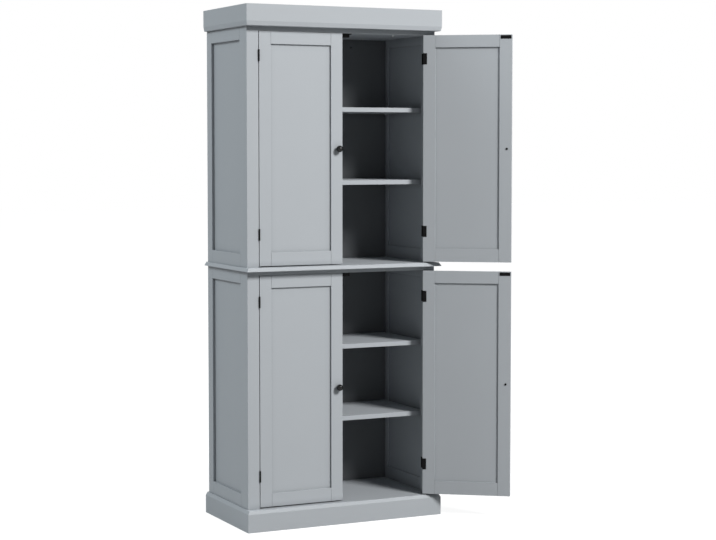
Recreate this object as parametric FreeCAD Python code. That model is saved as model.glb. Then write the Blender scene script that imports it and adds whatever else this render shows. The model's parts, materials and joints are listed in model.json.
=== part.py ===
import FreeCAD, Part
import os

# Freestanding pantry cabinet in two carcasses, each behind a pair of inset doors.
# Millimetres. X to the right, Y to the back, Z up, from the middle of the footprint on the floor.

# Outline of the footprint, and how far the body stands back from it
overall_width = 764.0
overall_depth = 411.0
side_overhang = 13.0
front_overhang = 32.5

# Heights, from the floor up
plinth_height = 63.0
bottom_panel_thickness = 13.5
compartment_height = 823.5
top_panel_thickness = 15.0
ledge_thickness = 13.5
crown_base_thickness = 16.0
crown_fascia_height = 59.0

# Boards of the plinth, the ledge and the crown
plinth_board = 20.0
crown_board = 20.0
crown_top_thickness = 12.0
bevel_width = 7.0
bevel_lip = 2.0
bevel_softening = 3.0
crown_draw_in = 3.5
crown_softening = 2.5
edge_ease = 0.25

# Face frame
face_thickness = 20.0
face_stile_width = 44.0

# Side frames and their panels
side_thickness = 20.0
side_stile_width = 45.0
side_top_rail = 44.5
side_bottom_rail = 45.5
side_panel_thickness = 6.0
side_panel_inner_recess = 5.0

# Doors
door_thickness = 20.0
door_stile_width = 44.5
door_top_rail = 44.0
door_bottom_rail = 48.0
door_panel_thickness = 8.0
door_panel_recess = 7.0
door_bottom_gap = 4.0
door_top_gap = 1.0
meeting_gap = 4.0
right_door_angle = 144.0

# Grooves that hold the panels, and the fine line left open where a rail meets a stile
panel_groove_depth = 8.0
panel_end_room = 1.0
joint_line_width = 0.7
joint_line_depth = 1.2

# Back panels and the wall rail behind the upper one
back_panel_thickness = 5.0
back_groove_depth = 6.0
wall_rail_thickness = 18.0
wall_rail_height = 60.0
wall_hole_radius = 3.0
wall_hole_spacing = 406.0

# Shelves and their pins
shelf_thickness = 16.0
shelf_setback = 40.0
shelf_room = 1.0
low_shelf_rise = 300.5
high_shelf_rise = 562.0
pin_radius = 2.5
pin_fit = 0.05
pin_cover = 11.0
pin_reach = 8.0
pin_tab_width = 9.0
pin_tab_thickness = 2.0
front_pin_inset = 13.0
back_pin_inset = 7.0
pin_hole_pitch = 32.0

# Butt hinges
hinge_length = 40.0
lower_hinge_below_top = 93.0
upper_hinge_below_top = 84.5
hinge_above_bottom = 110.0
hinge_barrel_radius = 2.6
hinge_pin_radius = 1.25
hinge_pin_head_radius = 2.0
hinge_pin_head_height = 0.8
hinge_running_gap = 0.05
hinge_knuckle_gap = 0.3
hinge_leaf_thickness = 0.9
hinge_leaf_air = 0.7
hinge_leaf_relief = 0.5
hinge_frame_leaf_depth = 14.0
hinge_wrap = 13.3

# Knobs
knob_radius = 11.8
knob_projection = 26.0
knob_neck_radius = 4.2
knob_collar_radius = 7.0
knob_collar_height = 2.0
knob_edge_distance = 17.5
knob_thread_depth = 12.0

# Strike plates and magnetic catches
strike_length = 38.0
strike_height = 12.0
strike_thickness = 1.0
strike_edge_gap = 2.5
strike_top_gap = 2.5
catch_air_gap = 0.4
catch_depth = 16.0
catch_height = 14.0
catch_ear_length = 9.0
catch_ear_thickness = 3.0
catch_ear_setback = 1.0

# Small flat-headed screws of the hinges and the strike plates
small_screw_head_radius = 1.8
small_screw_radius = 1.0
small_screw_length = 12.0
hinge_screw_end_distance = 8.0
strike_screw_spacing = 28.0

# Round-headed screws of the catches, of the knobs, and of the top panels into the board above
catch_screw_head_radius = 2.6
catch_screw_head_height = 1.6
catch_screw_radius = 1.2
catch_screw_cover = 6.0
knob_screw_head_radius = 4.0
knob_screw_head_height = 2.0
knob_screw_radius = 2.0
panel_screw_head_radius = 4.2
panel_screw_head_height = 2.4
panel_screw_radius = 2.0
panel_screw_cover = 6.0
panel_screw_side_inset = 120.0
panel_screw_edge_inset = 40.0
screw_head_bevel = 0.6
screw_fit = 0.05
screw_end_room = 0.5

# Dowels and cam fittings
dowel_radius = 4.0
dowel_grip = 19.0
dowel_cover = 4.0
dowel_edge_distance = 13.5
dowel_room = 1.0
dowel_fit = 0.05
cam_radius = 7.4
cam_cover = 2.5
cam_room = 0.1
cam_side_inset = 24.0
cam_edge_inset = 60.0
cam_slot_width = 1.6
cam_slot_depth = 1.2
cam_bolt_radius = 3.0
cam_bolt_cover = 10.0

# Points closer than this are the same point
same_place = 0.001

# Levels and planes that follow from the sizes above
lower_floor = plinth_height + bottom_panel_thickness
lower_head = lower_floor + compartment_height
ledge_bottom = lower_head + top_panel_thickness
upper_floor = ledge_bottom + ledge_thickness
upper_head = upper_floor + compartment_height
crown_bottom = upper_head + top_panel_thickness
fascia_bottom = crown_bottom + crown_base_thickness
cabinet_top = fascia_bottom + crown_fascia_height

door_gap = 2 * hinge_leaf_thickness + hinge_leaf_air
half_width = overall_width / 2
front = -overall_depth / 2
back = overall_depth / 2
face = front + front_overhang
body_half = half_width - side_overhang
inner_half = body_half - side_thickness
carcass_front = face + face_thickness
back_panel_rear = back - wall_rail_thickness
back_panel_front = back_panel_rear - back_panel_thickness
stile_edge = body_half - face_stile_width
door_back = face + door_thickness
hinge_x = stile_edge - door_gap / 2
hinge_y = face - hinge_barrel_radius
knuckle_length = (hinge_length - 2 * hinge_knuckle_gap) / 3
door_height = compartment_height - door_bottom_gap - door_top_gap
door_width = stile_edge - door_gap - meeting_gap / 2
carcass_height = compartment_height + top_panel_thickness
side_panel_recess = side_thickness - side_panel_thickness - side_panel_inner_recess
catch_length = strike_length + 2 * strike_edge_gap
catch_body_length = catch_length - 2 * catch_ear_length
pin_depth = side_thickness - pin_cover
cam_height = top_panel_thickness - cam_cover - cam_room
cam_bolt_grip = side_thickness - cam_bolt_cover

lower = {"name": "lower", "floor": lower_floor, "head": lower_head, "top": ledge_bottom,
         "above": ledge_thickness, "hinge_below_top": lower_hinge_below_top}
upper = {"name": "upper", "floor": upper_floor, "head": upper_head, "top": crown_bottom,
         "above": crown_base_thickness, "hinge_below_top": upper_hinge_below_top}
carcasses = (lower, upper)
sides = {"left": -1, "right": 1}
up = FreeCAD.Vector(0, 0, 1)
outward = FreeCAD.Vector(0, -1, 0)
nodes = {}


def vec(x, y, z):
    return FreeCAD.Vector(x, y, z)


def block(x0, x1, y0, y1, z0, z1):
    """Box between two corners, given in any order."""
    corner = vec(min(x0, x1), min(y0, y1), min(z0, z1))
    return Part.makeBox(abs(x1 - x0), abs(y1 - y0), abs(z1 - z0), corner)


def board(x0, x1, y0, y1, z0, z1):
    """Box with every edge eased, as a painted board has."""
    plain = block(x0, x1, y0, y1, z0, z1)
    return plain.makeChamfer(edge_ease, plain.Edges)


def rod(radius, start, direction, length):
    return Part.makeCylinder(radius, length, start, direction)


def prism(points, z0, z1):
    """Upright solid over a flat outline."""
    corners = [vec(x, y, z0) for x, y in points]
    outline = Part.makePolygon(corners + corners[:1])
    return Part.Face(outline).extrude(vec(0, 0, z1 - z0))


def turned(profile, base, direction):
    """Solid of revolution from (radius, height) edges, its axis along direction."""
    face_of_profile = Part.Face(Part.Wire(profile))
    solid = face_of_profile.revolve(vec(0, 0, 0), up, 360)
    solid.Placement = FreeCAD.Placement(base, FreeCAD.Rotation(up, direction))
    return solid


def edges_through(points):
    """Closed chain of straight edges in the XZ plane."""
    corners = [vec(radius, 0, height) for radius, height in points]
    closed = corners + corners[:1]
    return [Part.makeLine(a, b) for a, b in zip(closed, closed[1:])]


def sunk_screw(head_top, direction, sink, room=0.0, end_room=0.0):
    """Flat-headed screw, flush at head_top and sunk in a plate, or with room round it, the hole for one."""
    head = small_screw_head_radius + room
    shank = small_screw_radius + room
    length = small_screw_length + end_room
    points = [(0, 0), (head, 0), (shank, sink), (shank, length), (0, length)]
    return turned(edges_through(points), head_top, direction)


def sunk_hole(head_top, direction, sink):
    return sunk_screw(head_top, direction, sink, screw_fit, screw_end_room)


def round_screw(seat, direction, head_radius, head_height, radius, length):
    """Screw whose head stands on the surface at seat, and whose shank goes on from there."""
    points = [(0, -head_height), (head_radius - screw_head_bevel, -head_height)]
    points += [(head_radius, screw_head_bevel - head_height), (head_radius, 0), (radius, 0)]
    points += [(radius, length), (0, length)]
    return turned(edges_through(points), seat, direction)


def screw_hole(seat, direction, radius, length):
    return rod(radius + screw_fit, seat, direction, length + screw_end_room)


def stepped_board(levels):
    """Board over the whole footprint, with its front and side edges inset by level, and its back flush."""
    rings = []
    for z, inset in levels:
        left = -half_width + inset
        right = half_width - inset
        near = front + inset
        rings.append([vec(left, near, z), vec(right, near, z), vec(right, back, z), vec(left, back, z)])
    faces = [rings[0], rings[-1]]
    for low, high in zip(rings, rings[1:]):
        for i in range(len(low)):
            faces.append([low[i - 1], low[i], high[i], high[i - 1]])
    shell = Part.makeShell([Part.Face(Part.makePolygon(ring + ring[:1])) for ring in faces])
    solid = Part.makeSolid(shell).removeSplitter()
    if solid.Volume < 0:
        solid.reverse()
    return solid


def outer_edges(solid, height):
    """Level edges of a board at one height, apart from those along its back."""
    found = []
    for edge in solid.Edges:
        ends = [vertex.Point for vertex in edge.Vertexes]
        level = all(abs(end.z - height) < same_place for end in ends)
        at_back = all(abs(end.y - back) < same_place for end in ends)
        if level and not at_back:
            found.append(edge)
    return found


def bevelled_board(low, high):
    """Board over the whole footprint, bevelled above a thin lip, with the top of the bevel rounded."""
    solid = stepped_board([(low, 0), (low + bevel_lip, 0), (high, bevel_width)])
    return solid.makeFillet(bevel_softening, outer_edges(solid, high))


def joint_lines(near_stile, far_stile, thickness, rail_span):
    """Fine channels across both faces of a rail, at its two shoulders."""
    lines = []
    for shoulder, inward in ((near_stile, joint_line_width), (far_stile, -joint_line_width)):
        for surface, floor in ((0, joint_line_depth), (thickness, thickness - joint_line_depth)):
            lines.append(block(shoulder, shoulder + inward, surface, floor, *rail_span))
    return lines


def frame_and_panel(width, height, thickness, stile, top_rail, bottom_rail, panel_thickness, recess):
    """Two stiles, two rails and a flat panel, with the show face at y = 0 and a corner at the origin."""
    groove_near = recess
    groove_far = recess + panel_thickness
    reach = panel_groove_depth - panel_end_room
    left = board(0, stile, 0, thickness, 0, height)
    left = left.cut(block(stile - panel_groove_depth, stile, groove_near, groove_far, 0, height))
    right = board(width - stile, width, 0, thickness, 0, height)
    groove = block(width - stile, width - stile + panel_groove_depth, groove_near, groove_far, 0, height)
    right = right.cut(groove)
    pieces = [left, right]
    rail_top = height - top_rail
    low_groove = bottom_rail - panel_groove_depth
    high_groove = rail_top + panel_groove_depth
    rails = (
        ((0, bottom_rail), (low_groove, bottom_rail), (edge_ease, low_groove)),
        ((rail_top, height), (rail_top, high_groove), (high_groove, height - edge_ease)),
    )
    far_stile = width - stile
    tenons = ((stile + edge_ease, stile - reach), (far_stile - edge_ease, far_stile + reach))
    for rail_span, groove_span, tenon_span in rails:
        rail = board(stile, far_stile, 0, thickness, *rail_span)
        rail = rail.cut(block(stile, far_stile, groove_near, groove_far, *groove_span))
        rail = drilled(rail, joint_lines(stile, far_stile, thickness, rail_span))
        for shoulder, tip in tenons:
            rail = rail.fuse(block(shoulder, tip, groove_near, groove_far, *tenon_span))
        pieces.append(rail.removeSplitter())
    panel = block(stile - reach, far_stile + reach, groove_near, groove_far,
                  bottom_rail - reach, rail_top + reach)
    return pieces, panel


def moved(shape, turn, offset):
    """Copy of a shape, turned about Z and then shifted."""
    copy = shape.copy()
    copy.rotate(vec(0, 0, 0), up, turn)
    copy.translate(offset)
    return copy


def drilled(shape, tools):
    if not tools:
        return shape
    return shape.cut(Part.makeCompound(tools))


# Fixing places that more than one piece shares

def shelf_levels(carcass):
    """Height of each shelf's underside."""
    return [carcass["floor"] + rise - shelf_thickness for rise in (low_shelf_rise, high_shelf_rise)]


def pin_rows():
    return (face + shelf_setback + front_pin_inset, back_panel_front - back_pin_inset)


def dowel_places():
    x = inner_half + side_thickness / 2
    rows = (carcass_front + side_stile_width / 2, back - side_stile_width + dowel_edge_distance)
    return [(side * x, y) for side in (-1, 1) for y in rows]


def dowel_spans():
    """Bottom and top of each dowel: at the floor, through the ledge, and under the crown."""
    return [
        (plinth_height + dowel_cover, lower_floor + dowel_grip),
        (ledge_bottom - dowel_grip, upper_floor + dowel_grip),
        (crown_bottom - dowel_grip, fascia_bottom - dowel_cover),
    ]


def dowel_holes():
    holes = []
    for x, y in dowel_places():
        for low, high in dowel_spans():
            start = vec(x, y, low - dowel_room)
            holes.append(rod(dowel_radius + dowel_fit, start, up, high - low + 2 * dowel_room))
    return holes


def cam_places(carcass):
    rows = (carcass_front + cam_edge_inset, back_panel_front - cam_edge_inset)
    x = inner_half - cam_side_inset
    return [(side, side * x, y, carcass["head"]) for side in (-1, 1) for y in rows]


def cam_bolt(side, x, y, head, radius, tip_room):
    start = vec(x, y, head + top_panel_thickness / 2)
    return rod(radius, start, vec(side, 0, 0), cam_side_inset + cam_bolt_grip + tip_room)


def cam_bolt_holes(carcass):
    return [cam_bolt(*place, cam_bolt_radius + screw_fit, screw_end_room) for place in cam_places(carcass)]


def panel_screw_places(carcass):
    columns = (-inner_half + panel_screw_side_inset, inner_half - panel_screw_side_inset)
    rows = (carcass_front + panel_screw_edge_inset, back_panel_front - panel_screw_edge_inset)
    return [vec(x, y, carcass["head"]) for x in columns for y in rows]


def panel_screw_length(carcass):
    return top_panel_thickness + carcass["above"] - panel_screw_cover


def panel_screw_holes(carcass):
    length = panel_screw_length(carcass)
    return [screw_hole(place, up, panel_screw_radius, length) for place in panel_screw_places(carcass)]


def catch_centre(side):
    return side * (meeting_gap / 2 + strike_edge_gap + strike_length / 2)


def catch_screw_places(carcass):
    ear = (catch_length - catch_ear_length) / 2
    y = door_back + strike_thickness + catch_air_gap + catch_depth / 2
    seat = carcass["head"] - catch_ear_thickness
    return [vec(catch_centre(side) + shift, y, seat) for side in (-1, 1) for shift in (-ear, ear)]


def catch_screw_length():
    return catch_ear_thickness + top_panel_thickness - catch_screw_cover


def catch_screw_holes(carcass):
    length = catch_screw_length()
    return [screw_hole(place, up, catch_screw_radius, length) for place in catch_screw_places(carcass)]


def hinge_starts(carcass):
    """Lower end of each hinge."""
    door_bottom = carcass["floor"] + door_bottom_gap
    low = door_bottom + hinge_above_bottom - hinge_length / 2
    high = door_bottom + door_height - carcass["hinge_below_top"] - hinge_length / 2
    return (low, high)


def leaf_screw_heights(carcass):
    low = hinge_screw_end_distance
    high = hinge_length - hinge_screw_end_distance
    return [z + shift for z in hinge_starts(carcass) for shift in (low, high)]


def frame_leaf_screws(carcass, side):
    """Head place and direction of the screws that hold the hinge leaves to a face stile."""
    x = side * (stile_edge - hinge_leaf_thickness)
    y = face + hinge_leaf_relief + hinge_frame_leaf_depth / 2
    direction = vec(side, 0, 0)
    return [(vec(x, y, z), direction, hinge_leaf_thickness) for z in leaf_screw_heights(carcass)]


def wall_holes():
    depth = wall_rail_thickness + back_panel_thickness
    z = upper_head - wall_rail_height / 2
    return [rod(wall_hole_radius, vec(x, back_panel_front, z), vec(0, 1, 0), depth)
            for x in (-wall_hole_spacing / 2, wall_hole_spacing / 2)]


def back_panel_groove(carcass):
    """Room for a back panel and the slot that it stands in, all round."""
    reach = back_groove_depth
    z0 = carcass["floor"] - reach
    z1 = carcass["head"] + reach
    return block(-inner_half - reach, inner_half + reach, back_panel_front, back_panel_rear, z0, z1)


# Plinth: mitred front corners, back rail and centre rail between the sides

def mitred_front(thickness, z0, z1):
    corner = half_width - edge_ease / 2
    points = [
        (-half_width + edge_ease, front), (half_width - edge_ease, front), (corner, front + edge_ease / 2),
        (half_width - thickness, front + thickness), (-half_width + thickness, front + thickness),
        (-corner, front + edge_ease / 2),
    ]
    return prism(points, z0, z1)


def mitred_side(side, thickness, z0, z1):
    outer = side * half_width
    inner = side * (half_width - thickness)
    corner = side * (half_width - edge_ease / 2)
    points = [(outer, front + edge_ease), (corner, front + edge_ease / 2), (inner, front + thickness),
              (inner, back), (outer, back)]
    return prism(points, z0, z1)


def back_rail(thickness, z0, z1):
    inner = half_width - thickness
    return block(-inner, inner, back - thickness, back, z0, z1)


def make_plinth():
    middle = block(-plinth_board / 2, plinth_board / 2, front + plinth_board, back - plinth_board,
                   0, plinth_height)
    ends = [mitred_side(side, plinth_board, 0, plinth_height) for side in (-1, 1)]
    nodes["plinth_front"] = [mitred_front(plinth_board, 0, plinth_height)]
    nodes["plinth_back"] = [back_rail(plinth_board, 0, plinth_height)]
    nodes["plinth_cross_rails"] = [ends[0], middle, ends[1]]
    panel = bevelled_board(plinth_height, lower_floor)
    nodes["bottom_panel"] = [drilled(panel, dowel_holes() + [back_panel_groove(lower)])]


# Ledge between the carcasses, bevelled on its top edge

def make_ledge():
    ledge = bevelled_board(ledge_bottom, upper_floor)
    holes = dowel_holes() + [back_panel_groove(upper)]
    nodes["ledge_board"] = [drilled(ledge, holes + panel_screw_holes(lower))]


# Crown: a base board with a rounded lower edge, boards standing on it and a top let in between them

def make_crown():
    base = stepped_board([(crown_bottom, crown_draw_in), (fascia_bottom, 0)])
    base = base.makeFillet(crown_softening, outer_edges(base, crown_bottom))
    holes = dowel_holes() + panel_screw_holes(upper)
    nodes["crown_base"] = [drilled(base, holes)]
    nodes["crown_front"] = [mitred_front(crown_board, fascia_bottom, cabinet_top)]
    returns = [mitred_side(side, crown_board, fascia_bottom, cabinet_top) for side in (-1, 1)]
    nodes["crown_returns"] = returns + [back_rail(crown_board, fascia_bottom, cabinet_top)]
    inner = half_width - crown_board
    z0 = cabinet_top - crown_top_thickness
    nodes["crown_top"] = [block(-inner, inner, front + crown_board, back - crown_board, z0, cabinet_top)]


# Side walls: a frame and a panel, drilled for shelf pins, dowels and cam bolts

def pin_holes(carcass):
    holes = []
    for underside in shelf_levels(carcass):
        for step in (-1, 0, 1):
            z = underside - pin_radius + step * pin_hole_pitch
            for y in pin_rows():
                start = vec(-inner_half - pin_depth, y, z)
                holes.append(rod(pin_radius + pin_fit, start, vec(1, 0, 0), 2 * (inner_half + pin_depth)))
    return holes


def make_side_walls(carcass):
    depth = back - carcass_front
    pieces, panel = frame_and_panel(depth, carcass_height, side_thickness, side_stile_width, side_top_rail,
                                    side_bottom_rail, side_panel_thickness, side_panel_recess)
    tools = pin_holes(carcass) + dowel_holes() + cam_bolt_holes(carcass) + [back_panel_groove(carcass)]
    places = {
        "left": (-90, vec(-body_half, back, carcass["floor"])),
        "right": (90, vec(body_half, carcass_front, carcass["floor"])),
    }
    for side, (turn, offset) in places.items():
        name = carcass["name"] + "_" + side
        nodes[name + "_side_frame"] = [drilled(moved(piece, turn, offset), tools) for piece in pieces]
        nodes[name + "_side_panel"] = [moved(panel, turn, offset)]


# Face frame: stiles, and a rail that runs over them across the whole body

def make_face_frame():
    stiles = []
    rails = []
    for carcass in carcasses:
        for side in sides.values():
            stile = board(side * stile_edge, side * body_half, face, carcass_front,
                          carcass["floor"], carcass["head"])
            holes = [sunk_hole(*place) for place in frame_leaf_screws(carcass, side)]
            stiles.append(drilled(stile, holes))
        rails.append(board(-body_half, body_half, face, carcass_front, carcass["head"], carcass["top"]))
    nodes["face_stiles"] = stiles
    nodes["face_rails"] = rails


# Top panels, back panels and the wall rail

def make_panels(carcass):
    name = carcass["name"]
    top = block(-inner_half, inner_half, carcass_front, back, carcass["head"], carcass["top"])
    holes = cam_bolt_holes(carcass) + [back_panel_groove(carcass)]
    for side, x, y, head in cam_places(carcass):
        holes.append(rod(cam_radius + cam_room, vec(x, y, head), up, cam_height + cam_room))
    holes += panel_screw_holes(carcass) + catch_screw_holes(carcass)
    nodes[name + "_top_panel"] = [drilled(top, holes)]
    reach = back_groove_depth - panel_end_room
    back_panel = block(-inner_half - reach, inner_half + reach, back_panel_front, back_panel_rear,
                       carcass["floor"] - reach, carcass["head"] + reach)
    nodes[name + "_back_panel"] = [drilled(back_panel, wall_holes())]


def make_wall_rail():
    rail = block(-inner_half, inner_half, back_panel_rear, back, upper_head - wall_rail_height, upper_head)
    nodes["wall_rail"] = [drilled(rail, wall_holes())]


# Shelves and the pins under them

def make_shelves(carcass):
    half = inner_half - shelf_room
    for position, underside in zip(("low", "high"), shelf_levels(carcass)):
        shelf = board(-half, half, face + shelf_setback, back_panel_front - shelf_room,
                      underside, underside + shelf_thickness)
        nodes[carcass["name"] + "_" + position + "_shelf"] = [shelf]


def shelf_pin(side, y, underside):
    start = vec(side * (inner_half + pin_depth), y, underside - pin_radius)
    pin = rod(pin_radius, start, vec(-side, 0, 0), pin_depth + pin_reach)
    half_tab = pin_tab_width / 2
    tab = block(side * inner_half, side * (inner_half - pin_reach), y - half_tab, y + half_tab,
                underside - pin_tab_thickness, underside)
    return pin.fuse(tab)


def make_shelf_pins():
    nodes["shelf_pins"] = [shelf_pin(side, y, underside) for carcass in carcasses
                           for underside in shelf_levels(carcass) for side in (-1, 1) for y in pin_rows()]


# Dowels, cam fittings and panel screws that hold the carcasses together

def make_joinery():
    nodes["carcass_dowels"] = [rod(dowel_radius, vec(x, y, low), up, high - low)
                               for x, y in dowel_places() for low, high in dowel_spans()]
    fittings = []
    for carcass in carcasses:
        for side, x, y, head in cam_places(carcass):
            cam = rod(cam_radius, vec(x, y, head), up, cam_height)
            mouth = cam_bolt(side, x, y, head, cam_bolt_radius + screw_fit, 0)
            half_slot = cam_slot_width / 2
            slot = block(x - cam_radius / 2, x + cam_radius / 2, y - half_slot, y + half_slot,
                         head, head + cam_slot_depth)
            fittings.append(cam.cut(mouth).cut(slot))
            fittings.append(cam_bolt(side, x, y, head, cam_bolt_radius, 0))
    nodes["cam_fittings"] = fittings
    nodes["panel_screws"] = [
        round_screw(place, up, panel_screw_head_radius, panel_screw_head_height, panel_screw_radius,
                    panel_screw_length(carcass))
        for carcass in carcasses for place in panel_screw_places(carcass)]


# Magnetic catches behind the doors' top corners

def make_catches():
    catches = []
    for carcass in carcasses:
        head = carcass["head"]
        near = door_back + strike_thickness + catch_air_gap
        screws = catch_screw_holes(carcass)
        for side in sides.values():
            x = catch_centre(side)
            body = block(x - catch_body_length / 2, x + catch_body_length / 2, near, near + catch_depth,
                         head - catch_height, head)
            ears = block(x - catch_length / 2, x + catch_length / 2, near + catch_ear_setback,
                         near + catch_depth - catch_ear_setback, head - catch_ear_thickness, head)
            catches.append(drilled(body.fuse(ears), screws))
    nodes["magnetic_catches"] = catches


# Hinges: a leaf on the stile with two knuckles, a leaf round the door's edge with one, and a pin

def knuckle(side, z0, z1, plate_near, plate_far):
    """Barrel on the pin's axis, with the neck that joins it to its leaf."""
    axis = vec(side * hinge_x, hinge_y, z0)
    barrel = rod(hinge_barrel_radius, axis, up, z1 - z0)
    neck = block(side * plate_near, side * plate_far, hinge_y, face + hinge_leaf_relief, z0, z1)
    return barrel.fuse(neck)


def pin_bore(side, z):
    return rod(hinge_pin_radius + hinge_running_gap, vec(side * hinge_x, hinge_y, z), up, hinge_length)


def frame_leaf(carcass, side, z):
    near = stile_edge - hinge_leaf_thickness
    leaf = block(side * near, side * stile_edge, face + hinge_leaf_relief,
                 face + hinge_leaf_relief + hinge_frame_leaf_depth, z, z + hinge_length)
    for low in (z, z + hinge_length - knuckle_length):
        leaf = leaf.fuse(knuckle(side, low, low + knuckle_length, near, stile_edge))
    holes = [sunk_hole(*place) for place in frame_leaf_screws(carcass, side)]
    return drilled(leaf, holes + [pin_bore(side, z)])


def door_leaf(side, z, screws):
    edge = stile_edge - door_gap
    outer = edge + hinge_leaf_thickness
    plate = block(side * edge, side * outer, face + hinge_leaf_relief, door_back, z, z + hinge_length)
    wrap = block(side * (edge - hinge_wrap), side * outer, door_back, door_back + hinge_leaf_thickness,
                 z, z + hinge_length)
    low = z + knuckle_length + hinge_knuckle_gap
    leaf = plate.fuse(wrap).fuse(knuckle(side, low, low + knuckle_length, edge, outer))
    return drilled(leaf, screws + [pin_bore(side, z)])


def hinge_pin(side, z):
    axis = vec(side * hinge_x, hinge_y, z)
    head = rod(hinge_pin_head_radius, axis + up * hinge_length, up, hinge_pin_head_height)
    return rod(hinge_pin_radius, axis, up, hinge_length).fuse(head)


def make_frame_hinges():
    leaves = []
    pins = []
    screws = []
    for carcass in carcasses:
        for side in sides.values():
            for z in hinge_starts(carcass):
                leaves.append(frame_leaf(carcass, side, z))
                pins.append(hinge_pin(side, z))
            screws += [sunk_screw(*place) for place in frame_leaf_screws(carcass, side)]
        screws += [round_screw(place, up, catch_screw_head_radius, catch_screw_head_height,
                               catch_screw_radius, catch_screw_length())
                   for place in catch_screw_places(carcass)]
    nodes["hinge_frame_leaves"] = leaves
    nodes["hinge_pins"] = pins
    nodes["frame_screws"] = screws


# Doors: frame, panel, knob, hinge leaves, strike plate and screws

def knob_solid(base):
    """Ball on a short neck and a collar, bored for its screw."""
    centre = knob_projection - knob_radius
    neck_end = centre - (knob_radius ** 2 - knob_neck_radius ** 2) ** 0.5
    slope = 0.5 ** 0.5
    side_point = vec(knob_radius, 0, centre)
    ball = Part.Arc(vec(knob_neck_radius, 0, neck_end), side_point,
                    vec(knob_radius * slope, 0, centre + knob_radius * slope)).toShape()
    crown = Part.Arc(vec(knob_radius * slope, 0, centre + knob_radius * slope),
                     vec(knob_radius * slope / 2, 0, centre + knob_radius * (1 - slope ** 2 / 4) ** 0.5),
                     vec(0, 0, knob_projection)).toShape()
    corners = [vec(0, 0, knob_projection), vec(0, 0, 0), vec(knob_collar_radius - edge_ease, 0, 0),
               vec(knob_collar_radius, 0, edge_ease), vec(knob_collar_radius, 0, knob_collar_height),
               vec(knob_neck_radius, 0, knob_collar_height), vec(knob_neck_radius, 0, neck_end)]
    straight = [Part.makeLine(a, b) for a, b in zip(corners, corners[1:])]
    solid = turned(straight + [ball, crown], base, outward)
    return solid.cut(screw_hole(base, outward, knob_screw_radius, knob_thread_depth))


def make_door(carcass, side_name):
    side = sides[side_name]
    name = carcass["name"] + "_" + side_name + "_door"
    bottom = carcass["floor"] + door_bottom_gap
    corner = meeting_gap / 2 if side > 0 else -meeting_gap / 2 - door_width
    pieces, panel = frame_and_panel(door_width, door_height, door_thickness, door_stile_width, door_top_rail,
                                    door_bottom_rail, door_panel_thickness, door_panel_recess)
    offset = vec(corner, face, bottom)

    knob_x = side * (meeting_gap / 2 + knob_edge_distance)
    knob_z = bottom + door_height / 2
    knob_seat = vec(knob_x, door_back, knob_z)

    leaf_x = side * (stile_edge - door_gap - hinge_wrap / 2)
    leaf_y = door_back + hinge_leaf_thickness
    leaf_places = [vec(leaf_x, leaf_y, z) for z in leaf_screw_heights(carcass)]

    strike_top = bottom + door_height - strike_top_gap
    strike_z = strike_top - strike_height / 2
    strike_places = [vec(catch_centre(side) + shift, door_back + strike_thickness, strike_z)
                     for shift in (-strike_screw_spacing / 2, strike_screw_spacing / 2)]

    leaf_holes = [sunk_hole(place, outward, hinge_leaf_thickness) for place in leaf_places]
    strike_holes = [sunk_hole(place, outward, strike_thickness) for place in strike_places]
    knob_hole = screw_hole(knob_seat, outward, knob_screw_radius, door_thickness)
    frame_tools = leaf_holes + strike_holes + [knob_hole]

    frame = [drilled(moved(piece, 0, offset), frame_tools) for piece in pieces]
    strike = block(catch_centre(side) - strike_length / 2, catch_centre(side) + strike_length / 2,
                   door_back, door_back + strike_thickness, strike_top - strike_height, strike_top)
    screws = [sunk_screw(place, outward, hinge_leaf_thickness) for place in leaf_places]
    screws += [sunk_screw(place, outward, strike_thickness) for place in strike_places]
    screws.append(round_screw(knob_seat, outward, knob_screw_head_radius, knob_screw_head_height,
                              knob_screw_radius, door_thickness + knob_thread_depth))

    made = {
        "frame": frame,
        "panel": [moved(panel, 0, offset)],
        "knob": [knob_solid(vec(knob_x, face, knob_z))],
        "hinge_leaves": [door_leaf(side, z, leaf_holes) for z in hinge_starts(carcass)],
        "strike_plate": [drilled(strike, strike_holes)],
        "screws": screws,
    }
    angle = right_door_angle if side > 0 else 0
    for piece_name, shapes in made.items():
        for shape in shapes:
            shape.rotate(vec(side * hinge_x, hinge_y, 0), up, angle)
        nodes[name + "_" + piece_name] = shapes


make_plinth()
make_ledge()
make_crown()
make_face_frame()
make_wall_rail()
make_shelf_pins()
make_joinery()
make_catches()
make_frame_hinges()
for carcass in carcasses:
    make_side_walls(carcass)
    make_panels(carcass)
    make_shelves(carcass)
    for side_name in sides:
        make_door(carcass, side_name)

os.makedirs("parts", exist_ok=True)
for name, shapes in nodes.items():
    node = shapes[0] if len(shapes) == 1 else Part.makeCompound(shapes)
    node.exportStep("parts/" + name + ".step")
print(len(nodes), "nodes,", sum(len(shapes) for shapes in nodes.values()), "pieces")
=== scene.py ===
# %% [markdown]
# # A tall painted pantry cabinet
# The cabinet stands on a plinth, in two stacked carcasses with a bevelled ledge between them and a
# plain crown on top. The construction is already there: every board, hinge and screw arrives as a
# solid of its real size. This lesson gives those solids their finish, swaps the small turned and
# stamped fittings for finer ones, and lights the whole piece as in a plain studio.

# %% Load the frame
import json
import math

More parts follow.
